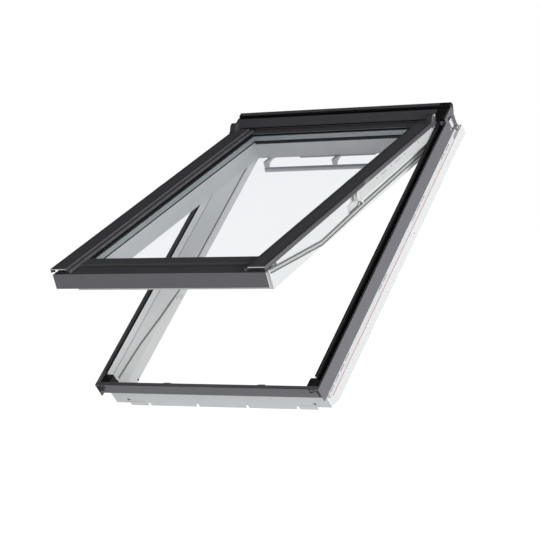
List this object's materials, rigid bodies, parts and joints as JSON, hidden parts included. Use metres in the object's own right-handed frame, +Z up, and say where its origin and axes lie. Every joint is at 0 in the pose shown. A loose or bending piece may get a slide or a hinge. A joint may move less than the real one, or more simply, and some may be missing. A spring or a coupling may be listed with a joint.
{
  "type": "roof window",
  "caption": "Top-hung, centre-pivoting roof window in its own frame: white mouldings, dark grey folded covers, double glazing, ventilation bar and locking handle, propped open.",
  "frame": {"origin": "middle of the sill's flat back face, where the window rests on the batten", "axes": "+X to the right seen from outside, +Z up, -Y outdoors: the roof slopes up towards +Y at its pitch of 45 degrees"},
  "size_m": [0.783, 1.1309, 0.9023],
  "materials": {
    "white_frame": "smooth white moulded coating",
    "grey_cover": "dark grey satin coated aluminium",
    "black_plastic": "moulded black",
    "black_rubber": "extruded black rubber",
    "grey_rubber": "extruded grey rubber",
    "white_plastic": "moulded white",
    "white_bar": "white coated aluminium",
    "zinc_steel": "bright zinc plated",
    "spring_steel": "oiled coil",
    "grip_metal": "satin anodised",
    "spacer_metal": "warm-edge grey",
    "glass": "clear with a faint blue tint"
  },
  "bodies": {
    "frame": {"frame_side_left": "white_frame", "frame_side_right": "white_frame", "frame_head": "white_frame", "frame_sill": "white_frame", "frame_cover_left": "grey_cover", "frame_cover_right": "grey_cover", "sill_cover": "grey_cover", "hood": "grey_cover", "hood_cap_left": "black_plastic", "hood_cap_right": "black_plastic", "hood_end_left": "grey_cover", "hood_end_right": "grey_cover", "hood_clips": "zinc_steel", "hood_screws": "zinc_steel", "frame_gasket_left": "black_rubber", "frame_gasket_right": "black_rubber", "sill_gasket": "black_rubber", "corner_block_left": "black_plastic", "corner_block_right": "black_plastic", "edge_rail_left": "white_plastic", "edge_rail_right": "white_plastic", "hinge_bracket_left": "zinc_steel", "hinge_bracket_right": "zinc_steel", "striker_plates": "zinc_steel", "arm_catches": "zinc_steel"},
    "arms": {"arm_left": "zinc_steel", "arm_right": "zinc_steel", "balance_springs": "spring_steel", "upper_cover_left": "grey_cover", "upper_cover_right": "grey_cover", "upper_cover_clips": "zinc_steel", "cover_cap_left": "grey_cover", "cover_cap_right": "grey_cover", "cap_screws": "zinc_steel"},
    "sash": {"sash_side_left": "white_frame", "sash_side_right": "white_frame", "sash_head_rail": "white_frame", "sash_bottom_rail": "white_frame", "outer_pane": "glass", "inner_pane": "glass", "spacer_bar": "spacer_metal", "edge_seal": "black_rubber", "bedding_tape": "black_rubber", "glazing_gasket": "black_rubber", "lower_cover_left": "grey_cover", "lower_cover_right": "grey_cover", "bottom_cover": "grey_cover", "head_cover": "grey_cover", "lower_cover_clips": "zinc_steel", "cover_end_lips": "zinc_steel", "bottom_cover_ends": "white_plastic", "side_seals": "grey_rubber", "pivot_plates": "zinc_steel", "shaft_lugs": "white_plastic"},
    "vent": {"vent_bar": "white_bar", "vent_brackets": "white_plastic", "vent_flap": "white_plastic"},
    "handle": {"handle_shaft": "zinc_steel", "handle_grip": "grip_metal", "lock_claws": "zinc_steel"}
  },
  "joints": [
    {"name": "top_hung", "type": "hinge", "parent": "frame", "child": "arms", "pos_m": [0, 0.65443, 0.78171], "axis": [-1, 0, 0], "range_deg": [-21, 24]},
    {"name": "centre_pivot", "type": "hinge", "parent": "arms", "child": "sash", "pos_m": [0, 0.20971, 0.62749], "axis": [-1, 0, 0], "range_deg": [0, 130]},
    {"name": "vent_bar_pull", "type": "hinge", "parent": "sash", "child": "vent", "pos_m": [0, 0.68461, 0.73604], "axis": [1, 0, 0], "range_deg": [0, 25]},
    {"name": "handle_turn", "type": "hinge", "parent": "sash", "child": "handle", "pos_m": [0, -0.22082, 0.35042], "axis": [-1, 0, 0], "range_deg": [0, 25]}
  ]
}
